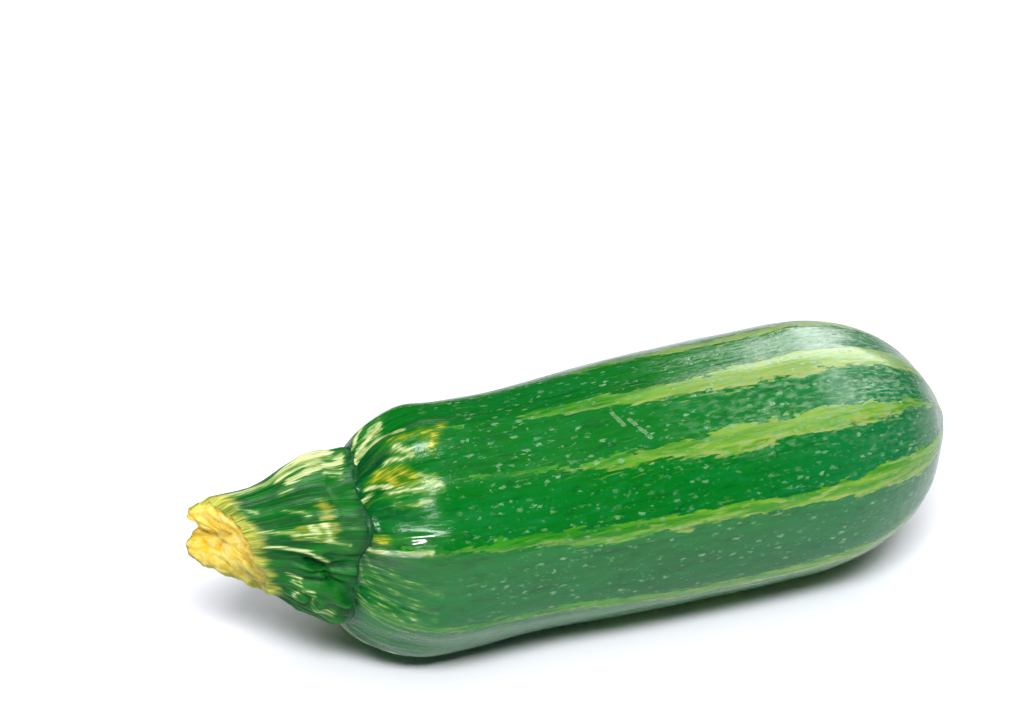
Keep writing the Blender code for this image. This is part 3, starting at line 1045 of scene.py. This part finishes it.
# %% The class for shader maths
class Wire:
    """One output of a shader node, which sums can be written with."""

    def __init__(self, tree, socket):
        self.tree = tree
        self.socket = socket

    def node(self, kind, settings=None, sockets=None, out=0):
        """A new node with its settings, then its sockets' values or links, as the wire of one output."""
        made = self.tree.nodes.new(kind)
        for name, value in (settings or {}).items():
            setattr(made, name, value)
        for name, value in (sockets or {}).items():
            if isinstance(value, Wire):
                self.tree.links.new(value.socket, made.inputs[name])
            else:
                made.inputs[name].default_value = value
        return Wire(self.tree, made.outputs[out])

    def maths(self, operation, first, second=0.0):
        """The result of a Math node on two values or wires."""
        return self.node("ShaderNodeMath", {"operation": operation}, {0: first, 1: second})

    def __add__(self, other):
        return self.maths("ADD", self, other)

    __radd__ = __add__

    def __sub__(self, other):
        return self.maths("SUBTRACT", self, other)

    def __rsub__(self, other):
        return self.maths("SUBTRACT", other, self)

    def __mul__(self, other):
        return self.maths("MULTIPLY", self, other)

    __rmul__ = __mul__

    def most(self, other):
        """The greater of two values."""
        return self.maths("MAXIMUM", self, other)

    def rise(self, low, high):
        """0 below low, 1 above high and smooth between, or the other way round if low is above high."""
        sockets = {"Value": self, "From Min": low, "From Max": high}
        return self.node("ShaderNodeMapRange", {"interpolation_type": "SMOOTHSTEP"}, sockets)

    def over(self, below, colour):
        """The colour where this mask is 1, on what is below it where the mask is 0."""
        settings = {"data_type": "RGBA", "clamp_factor": True}
        return self.node("ShaderNodeMix", settings, {0: self, 6: below, 7: colour}, out=2)

    def attribute(self, name, out="Fac"):
        """A number, or a vector, that the points of a piece keep under a name."""
        return self.node("ShaderNodeAttribute", {"attribute_name": name}, out=out)

    def stretched(self, length, width):
        """This vector in grains of a length along X and a width across it."""
        scale = (1 / length, 1 / width, 1 / width)
        return self.node("ShaderNodeVectorMath", {"operation": "MULTIPLY"}, {0: self, 1: scale})

    def shifted(self, by):
        """This vector moved by the same length along X, Y and Z."""
        return self.node("ShaderNodeVectorMath", {"operation": "ADD"}, {0: self, 1: (by, by, by)})

    def grain(self, length, width, detail=2.0, seed=0.0):
        """A noise from 0 to 1 whose grains have this length and width."""
        sockets = {"Vector": self.stretched(length, width).shifted(seed), "Scale": 1.0, "Detail": detail}
        return self.node("ShaderNodeTexNoise", None, sockets)

    def torn(self, size, length, width, detail=2.0, seed=0.0):
        """The same noise about 0 and this large, which tears an edge that it is added to."""
        return (self.grain(length, width, detail, seed) - 0.5) * size

    def cells(self, length, width, seed=0.0):
        """The distance to the nearest of many scattered points, and a random colour for each of them."""
        sockets = {"Vector": self.stretched(length, width).shifted(seed), "Scale": 1.0}
        distance = self.node("ShaderNodeTexVoronoi", None, sockets)
        colour = Wire(self.tree, distance.socket.node.outputs["Color"])
        split = colour.node("ShaderNodeSeparateColor", None, {"Color": colour})
        others = [Wire(self.tree, split.socket.node.outputs[index]) for index in (0, 1, 2)]
        return distance, others


print("a wire knows", sorted(name for name in vars(Wire) if not name.startswith("_")))

# %% [markdown]
# ## Colours and empty materials
#
# A colour is easiest to choose as a screen shows it, but a material holds the share of the light that it
# sends back, so a function turns one into the other. The lamps of this scene are bright enough to wash the
# table white, and the skins are darkened to match. A finished material gets its colour, roughness and a
# fine relief in one call.

# %% Colours and empty materials
def paint(red, green, blue, share=1.0):
    """A colour from 0 to 255, as a screen shows it, turned into the share of the light that it sends back."""
    screen = [value / 255 for value in (red, green, blue)]
    light = [((value + 0.055) / 1.055) ** 2.4 if value > 0.04 else value / 12.92 for value in screen]
    return (*[value * share for value in light], 1.0)


# The lamps wash the table white, so the skins' colours are written as they look in that light, then darkened
SKIN_SHARE = 0.55
PALE_SHARE = 0.85


def tint(red, green, blue, share=SKIN_SHARE):
    """The colour of a skin, as it looks under the lamps."""
    return paint(red, green, blue, share)


def new_material(name):
    """An empty material, its shader node and a wire to start from."""
    material = bpy.data.materials.new(name)
    material.use_nodes = True
    shader = material.node_tree.nodes["Principled BSDF"]
    start = Wire(material.node_tree, shader.outputs[0])
    return material, shader, start


def finish_material(shader, colour, roughness, height, depth):
    """Links a material's colour, roughness and relief to its shader."""
    tree = colour.tree
    sockets = {"Height": height, "Distance": depth, "Strength": 1.0}
    relief = colour.node("ShaderNodeBump", None, sockets)
    tree.links.new(colour.socket, shader.inputs["Base Color"])
    tree.links.new(roughness.socket, shader.inputs["Roughness"])
    tree.links.new(relief.socket, shader.inputs["Normal"])


def shares(colour):
    """The red, green and blue of a colour, rounded for printing."""
    return [round(value, 3) for value in colour[:3]]


print("a middle grey sends back", shares(paint(128, 128, 128)))

# %% [markdown]
# ## The dark skin
#
# The dark skin is a deep green, fresher near the top and bluer towards the blossom end. It is never one
# flat colour, so broad clouds, fine streaks and a mottling lie over each other, each of them lighter or
# darker than what is below it. Every layer is a mask and a colour.

# %% Dark skin between the stripes
SIDE_GREEN = tint(0, 118, 50)
TOP_GREEN = tint(0, 134, 28)


def dark_skin(skin, along, above_table, streak, mottle):
    """The dark green between the stripes."""
    colour = above_table.rise(16, 48).over(SIDE_GREEN, TOP_GREEN)
    colour = (skin.grain(30, 9, 2.0, seed=3.0).rise(0.4, 0.7) * 0.5).over(colour, tint(4, 142, 56))
    colour = (along.rise(80, 140) * 0.8).over(colour, tint(26, 140, 84))
    colour = (streak.rise(0.52, 0.75) * 0.35).over(colour, tint(14, 148, 64))
    colour = (streak.rise(0.45, 0.25) * 0.5).over(colour, tint(0, 92, 36))
    colour = (mottle.rise(0.52, 0.72) * 0.4).over(colour, tint(20, 150, 80))
    return (mottle.rise(0.44, 0.28) * 0.5).over(colour, tint(0, 94, 40))


print("the dark green sends back", shares(SIDE_GREEN), "low and", shares(TOP_GREEN), "on top")

# %% [markdown]
# ## The light stripes, the bloom and a painted sheen
#
# A stripe's edge is torn by two noises, one broad and one fine, and small islands of it lie just outside.
# The stripes are green near the stem and turn yellower as they run towards the blossom end, with bleached
# blotches and a paler lower edge. On top of the blossom half they are paler, partly bleached and partly a
# painted highlight. Up on the blossom end a pale bloom lies over dark skin and stripes alike, and on its
# upper part it is partly a painted sheen.

# %% Stripes, bloom and painted sheen
RIPE_STRIPE = tint(146, 206, 56)
BLOOM_AND_SHEEN = tint(160, 210, 160)


def add_stripes(colour, start, skin, along, above_table, blotch):
    """The light stripes on a colour, and the mask of where they are."""
    inside = start.attribute("inside")
    tears = skin.torn(5.0, 10, 2.4, 2.0, seed=7.0) + skin.torn(2.6, 2.4, 0.7, 3.0, seed=1.0)
    edge = inside + tears
    stripe = edge.rise(-0.2, 0.35)
    island = skin.grain(5.5, 0.7, 1.0, seed=11.0).rise(0.66, 0.73) * inside.rise(-4.0, -0.5)
    ripe = along.rise(34, 108)
    deep = ripe.over(tint(8, 140, 26), tint(72, 168, 22))
    bright = ripe.over(tint(62, 176, 30), RIPE_STRIPE)
    light = skin.grain(12, 1.2, 3.0, seed=5.0).rise(0.35, 0.65).over(deep, bright)
    # Paler on top of the blossom half: partly bleached skin, partly a painted highlight
    bleached_and_sheen = above_table.rise(46, 54) * along.rise(62, 96)
    light = (bleached_and_sheen * 0.6).over(light, tint(186, 212, 104))
    light = (blotch.rise(0.54, 0.68) * (ripe * 0.5 + 0.25)).over(light, tint(182, 208, 104))
    below = (start.attribute("across") + tears * 0.4).rise(0.3, -1.0)
    lower = below * edge.rise(1.8, 0.2) * blotch.rise(0.38, 0.55)
    light = (lower * (ripe * 0.5 + 0.2)).over(light, tint(204, 214, 122))
    return (stripe.most(island * 0.6)).over(colour, light), stripe


def add_bloom_and_sheen(colour, skin, along, above_table):
    """The pale bloom on the blossom end, with a painted sheen on its upper part."""
    # The pale bloom, and on the top of the blossom end also a painted sheen
    bloom_and_sheen = skin.grain(2.4, 1.0, 6.0, seed=23.0).rise(0.42, 0.7)
    upper_end = above_table.rise(43, 52) * along.rise(68, 98)
    return (bloom_and_sheen * (upper_end * 0.5 + along.rise(104, 140) * 0.25)).over(colour, BLOOM_AND_SHEEN)


print("a ripe stripe sends back", shares(RIPE_STRIPE), "and the bloom", shares(BLOOM_AND_SHEEN))

# %% [markdown]
# ## The flecks
#
# Hundreds of pale flecks lie on the skin, and fine dust between them. Painting them one by one would take
# an image. A pattern of cells scatters points and gives each a random colour, whose three parts are used
# here as the fleck's size, whether it is there at all, and how pale it is.

# %% Flecks of the skin
# How far apart they lie, in mm along the fruit and across it
FLECKS_APART = (2.6, 1.4)
DUST_APART = (1.4, 0.95)


def add_flecks(colour, skin, flesh, along):
    """The pale flecks and dust on a colour, and how far they stand out."""
    wobble = skin.torn(0.9, 0.9, 0.45, 3.0, seed=15.0)
    distance, (size, chance, tone) = flesh.cells(*FLECKS_APART)
    fleck = (distance + wobble - size * 0.16).rise(0.24, 0.02) * chance.rise(0.2, 0.35)
    small, (small_size, small_chance, small_tone) = flesh.cells(*DUST_APART, seed=4.0)
    dust = (small + wobble - small_size * 0.1).rise(0.30, 0.02) * small_chance.rise(0.45, 0.6)
    flecked = (skin.grain(24, 9, 1.0, seed=13.0).rise(0.3, 0.55) * 0.6 + 0.4) * along.rise(14, 40)
    colour = (dust * flecked * (small_tone * 0.5 + 0.15)).over(colour, tint(80, 182, 118))
    colour = (fleck * flecked * (tone * 0.75 + 0.15)).over(colour, tint(150, 212, 150))
    return colour, fleck * 0.3 + dust * 0.1


print("flecks lie", FLECKS_APART, "mm apart and dust", DUST_APART)

# %% [markdown]
# ## The marks of the shoulder
#
# The furrows get a painted highlight on their crests and painted shade between them, and the crease and the
# dents get darker painted shade still.
# Gold and cream marks come next, each with a wide, weak layer below a narrow, strong one, so that they fade
# into the green. Scratches and the dry scar of the blossom are the last layers.

# %% Marks of the shoulder
CREAM = tint(226, 234, 172, PALE_SHARE)
GOLD = tint(224, 208, 70, PALE_SHARE)


def add_marks(colour, start, skin, blotch, mottle):
    """Painted highlight and shade of the furrows, painted shade of the crease and dents, marks, scratches and
    the scar on a colour, and the mask of the scratches.
    """
    tears = skin.torn(2.4, 4, 0.7, 4.0, seed=2.0)
    gather = start.attribute("gather")
    # Painted highlight on the crests of the furrows, and painted shade in the grooves between them
    colour = (gather.rise(0.1, 0.55) * 0.35).over(colour, tint(70, 160, 60))
    colour = (gather.rise(-0.1, -0.5) * 0.5).over(colour, tint(0, 84, 34))
    # Painted shade in the crease round the stem and in the deeper dents
    shade = start.attribute("hollow") * (skin.grain(5, 2, 3.0, seed=14.0).rise(0.3, 0.6) * 0.6 + 0.3)
    colour = shade.over(colour, tint(0, 74, 46))
    mark = start.attribute("gold")
    colour = ((mark + tears * 0.7).rise(-0.35, 0.2) * 0.75).over(colour, tint(98, 164, 26))
    gilt = blotch.rise(0.4, 0.62).over(tint(160, 186, 40), GOLD)
    colour = ((mark + tears).rise(0.15, 0.75) * 0.85).over(colour, gilt)
    mark = start.attribute("cream")
    colour = ((mark + tears * 0.7).rise(-0.3, 0.3) * 0.6).over(colour, tint(90, 172, 62))
    pale = mottle.rise(0.35, 0.65).over(tint(170, 206, 104), CREAM)
    colour = ((mark + tears).rise(0.1, 0.75) * 0.95).over(colour, pale)
    scratch = (start.attribute("scratch") + tears * 0.7).rise(0.0, 0.5)
    colour = (scratch * 0.45).over(colour, tint(160, 204, 140))
    dry = mottle.rise(0.4, 0.6).over(tint(118, 112, 62), tint(168, 156, 98))
    return start.attribute("scar").over(colour, dry), scratch


print("cream marks send back", shares(CREAM), "and gold ones", shares(GOLD))

# %% [markdown]
# ## The skin put together
#
# The layers are stacked in the order in which they lie on the fruit. The wax on the skin is uneven, and
# that breaks the shine into streaks. On the rubbed spots a clear coat is added, which makes the two glints.

# %% Material of the fruit
SKIN_SPECULAR = 0.35
SKIN_RELIEF = 0.16 * MM
COAT_ROUGHNESS = 0.1
COAT_IOR = 2.0
COAT_LEAST = 0.04


def fruit_material():
    """The striped and flecked skin."""
    material, shader, start = new_material("fruit_skin")
    skin = start.attribute("skin", "Vector")
    along = skin.node("ShaderNodeSeparateXYZ", None, {0: skin})
    place = start.node("ShaderNodeTexCoord", out="Object")
    flesh = place.stretched(MM, MM)
    above_table = flesh.node("ShaderNodeSeparateXYZ", None, {0: flesh}, out=2)
    streak = skin.grain(26, 1.6, 4.0)
    mottle = skin.grain(4.5, 1.5, 4.0, seed=17.0)
    blotch = skin.grain(5, 0.9, 3.0, seed=8.0)
    wax = skin.grain(7, 0.8, 4.0, seed=19.0)

    colour = dark_skin(skin, along, above_table, streak, mottle)
    colour, stripe = add_stripes(colour, start, skin, along, above_table, blotch)
    colour = add_bloom_and_sheen(colour, skin, along, above_table)
    colour, specks = add_flecks(colour, skin, flesh, along)
    colour, scratch = add_marks(colour, start, skin, blotch, mottle)

    roughness = wax * 0.26 + 0.1 + stripe * 0.05
    height = streak * 0.4 + specks + stripe * 0.3 + wax * 0.5
    height = height + skin.grain(1.6, 0.8, 3.0, seed=6.0) * 0.35 - scratch * 0.4
    finish_material(shader, colour, roughness, height, SKIN_RELIEF)
    polish = start.attribute("polish").rise(-0.1, 0.4) * (1 - COAT_LEAST) + COAT_LEAST
    polish.tree.links.new(polish.socket, shader.inputs["Coat Weight"])
    shader.inputs["Specular IOR Level"].default_value = SKIN_SPECULAR
    shader.inputs["Coat Roughness"].default_value = COAT_ROUGHNESS
    shader.inputs["Coat IOR"].default_value = COAT_IOR
    return material


fruit.data.materials.append(fruit_material())
print("the fruit's skin has", len(fruit.data.materials[0].node_tree.nodes), "nodes")

# %% [markdown]
# ## The green of the stem
#
# The stem is green with pale lines along it. Its rib crests get a painted highlight, the hollows between them
# painted shade, and its foot, where it meets the shoulder, darker painted shade. Cream and gold marks lie on
# its toes, like those on the shoulder.

# %% Green skin of the stem
STEM_GREEN = tint(0, 104, 32)


def green_skin(start, skin, fibre, line):
    """The ribbed green skin, with a painted highlight on the rib crests and painted shade between them and at
    the foot.
    """
    rib = start.attribute("rib")
    colour = skin.grain(9, 4, 2.0, seed=7.0).rise(0.4, 0.6).over(STEM_GREEN, tint(0, 132, 30))
    colour = (line.rise(0.56, 0.7) * 0.28).over(colour, tint(76, 174, 62))
    # Painted highlight on the crests of the ribs and folds
    crest = (rib + (fibre - 0.5) * 2.4).rise(0.5, 1.2)
    colour = (crest * 0.22).over(colour, tint(56, 166, 48))
    # Painted shade in the hollows between the ribs and folds
    hollow = (rib + (fibre - 0.5) * 1.6).rise(-0.3, -0.9)
    colour = (hollow * 0.6).over(colour, tint(0, 84, 30))
    # Painted shade at the foot, where the stem meets the shoulder
    shade = start.attribute("hollow") * (skin.grain(4, 1.4, 3.0, seed=14.0).rise(0.3, 0.65) * 0.6 + 0.2)
    return shade.over(colour, tint(0, 74, 40))


def add_stem_marks(colour, start, skin, fibre):
    """The gold and cream marks on a colour."""
    tears = skin.torn(2.4, 4, 0.8, 4.0, seed=2.0)
    gold = (start.attribute("gold") + tears).rise(-0.2, 0.6)
    colour = (gold * 0.8).over(colour, fibre.rise(0.4, 0.6).over(tint(130, 178, 30), tint(214, 206, 70)))
    mark = start.attribute("cream")
    colour = ((mark + tears * 0.7).rise(-0.25, 0.3) * 0.55).over(colour, tint(90, 174, 62))
    pale = fibre.rise(0.35, 0.6).over(tint(166, 206, 96), tint(232, 238, 176, PALE_SHARE))
    return ((mark + tears).rise(0.1, 0.7) * 0.95).over(colour, pale)


print("the stem's green sends back", shares(STEM_GREEN))

# %% [markdown]
# ## The yellow of the tear
#
# Past the end of the green the stem is olive and then yellow. On the torn face the pith is bright yellow and
# olive on its lower near side. Ochre painted shade lies in its cleft and in the groove inside its rim, and an
# ochre line along its lower edge.

# %% Material of the stem
STEM_SPECULAR = 0.22
STEM_RELIEF = 0.25 * MM


def add_tear(colour, start, skin, lumps, flesh, face):
    """The yellow end of the stem on a colour, with its pith, the ochre painted shade in its cleft and groove,
    and its ochre lower edge.
    """
    edge = start.attribute("past") + skin.torn(4.0, 6, 2.6, 3.0, seed=9.0)
    yellow = tint(216, 212, 92, PALE_SHARE)
    olive = skin.grain(6, 1.2, 2.0, seed=5.0).rise(0.3, 0.7).over(tint(132, 164, 42), yellow)
    colour = edge.rise(-2.2, 1.2).over(colour, olive)
    pith_colour = lumps.rise(0.35, 0.65).over(tint(248, 202, 50, PALE_SHARE), tint(255, 232, 124, PALE_SHARE))
    colour = face.over(colour, pith_colour)
    dull = lumps.rise(0.4, 0.6).over(tint(160, 164, 44), tint(208, 202, 88))
    colour = (start.attribute("olive") * 0.85).over(colour, dull)
    # Ochre painted shade in the cleft and the groove, and ochre along the lower edge of the rim
    ochre_mask = (start.attribute("ochre") + flesh.torn(0.8, 1.1, 1.1, 2.0, seed=6.0)).rise(0.2, 0.9)
    return (ochre_mask * 0.55).over(colour, tint(206, 164, 30))


def stem_material():
    """The ribbed green skin and the yellow tear."""
    material, shader, start = new_material("stem_skin")
    skin = start.attribute("skin", "Vector")
    place = start.node("ShaderNodeTexCoord", out="Object")
    flesh = place.stretched(MM, MM)
    fibre = skin.grain(12, 1.0, 4.0)
    line = skin.grain(14, 0.75, 3.0, seed=11.0)
    lumps = flesh.grain(2.2, 2.2, 4.0, seed=3.0)
    face = (1 - start.attribute("share")).rise(0.02, 0.10)

    colour = green_skin(start, skin, fibre, line)
    colour = add_stem_marks(colour, start, skin, fibre)
    colour = add_tear(colour, start, skin, lumps, flesh, face)

    roughness = fibre * 0.2 + 0.3
    height = fibre * 0.6 + line * 0.4 + skin.grain(2.0, 0.9, 3.0, seed=6.0) * 0.3 + lumps * face * 0.9
    finish_material(shader, colour, roughness, height, STEM_RELIEF)
    shader.inputs["Specular IOR Level"].default_value = STEM_SPECULAR
    return material


stem.data.materials.append(stem_material())
print("the stem's skin has", len(stem.data.materials[0].node_tree.nodes), "nodes")

# %% [markdown]
# ## Table and light
#
# The picture is bright, with a white surface that fades into white behind it. A large pale plane is enough,
# because the camera looks down and never sees a horizon. The sky is nearly dark, so that no grey veil lies
# on the dark skin. Two large lamps light everything and wash the table white, but no reflection sees them.
# The shine comes from four small lamps that only reflections see: one behind the blossom end draws the
# broad highlight, one above it a soft band, and two make the glints on the shoulder. They stand close to
# the fruit, because the shine of a near lamp stays on one part of a long form.

# %% Floor, sky and lamps
FLOOR_SIZE = 6.0
CLOUD_SIZE = 0.6
SKY_COLOUR = (0.94, 0.97, 1.0, 1.0)
SKY_STRENGTH = 0.04


def make_floor():
    """The pale plane that the fruit lies on."""
    bm = bmesh.new()
    bmesh.ops.create_grid(bm, x_segments=1, y_segments=1, size=FLOOR_SIZE / 2)
    mesh = bpy.data.meshes.new("floor")
    bm.to_mesh(mesh)
    bm.free()
    material, shader, start = new_material("floor")
    cloud = start.node("ShaderNodeTexCoord", out="Object").grain(CLOUD_SIZE, CLOUD_SIZE)
    colour = cloud.over(paint(241, 241, 249), paint(245, 245, 252))
    colour.tree.links.new(colour.socket, shader.inputs["Base Color"])
    shader.inputs["Roughness"].default_value = 0.6
    shader.inputs["Specular IOR Level"].default_value = 0.2
    mesh.materials.append(material)
    floor = bpy.data.objects.new("floor", mesh)
    bpy.context.scene.collection.objects.link(floor)
    return floor


def lamp(name, place, aim, width, height, brightness, job):
    """A flat lamp turned to what it lights, whose job is either to fill the shadows or to make the shine."""
    light = bpy.data.lights.new(name, "AREA")
    light.shape = "RECTANGLE"
    light.size = width
    light.size_y = height
    light.energy = brightness * math.pi * width * height
    made = bpy.data.objects.new(name, light)
    made.location = place
    made.rotation_euler = (Vector(aim) - Vector(place)).to_track_quat("-Z", "Y").to_euler()
    made.visible_camera = False
    made.visible_glossy = job == "shine"
    made.visible_diffuse = job == "fill"
    bpy.context.scene.collection.objects.link(made)
    return made


floor = make_floor()
world = bpy.data.worlds.new("sky")
world.use_nodes = True
sky = world.node_tree.nodes["Background"]
sky.inputs["Color"].default_value = SKY_COLOUR
sky.inputs["Strength"].default_value = SKY_STRENGTH
bpy.context.scene.world = world
# Each is a name, place, aim, width, height, brightness and job
lamp("ceiling", (0, 0, 2), (0, 0.001, 0), 3, 3, 1.4, "fill")
lamp("key", (-0.45, -1.25, 1.95), (0, 0, 0), 1.2, 0.5, 32.0, "fill")
lamp("back_panel", (0.212, 0.137, 0.205), (0.05, 0, 0.06), 0.22, 0.17, 8.5, "shine")
lamp("right_box", (0.18, -0.02, 0.25), (0.06, -0.02, 0.05), 0.14, 0.06, 5.0, "shine")
lamp("front_glint", (-0.26, -0.54, 0.34), (-0.05, 0, 0.04), 0.2, 0.08, 18.0, "shine")
lamp("top_glint", (-0.055, -0.045, 0.17), (-0.043, -0.022, 0.042), 0.07, 0.05, 20.0, "shine")
bpy.context.scene.view_settings.view_transform = "Standard"

# %% [markdown]
# ## Handing the pieces over
#
# Each new piece moves with the model's one body and stands in for its solid, which is hidden.

for piece, node, slot in ((fruit, "fruit", "fruit_skin"), (stem, "stem", "stem_skin")):
    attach(piece, "root")
    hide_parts(node)
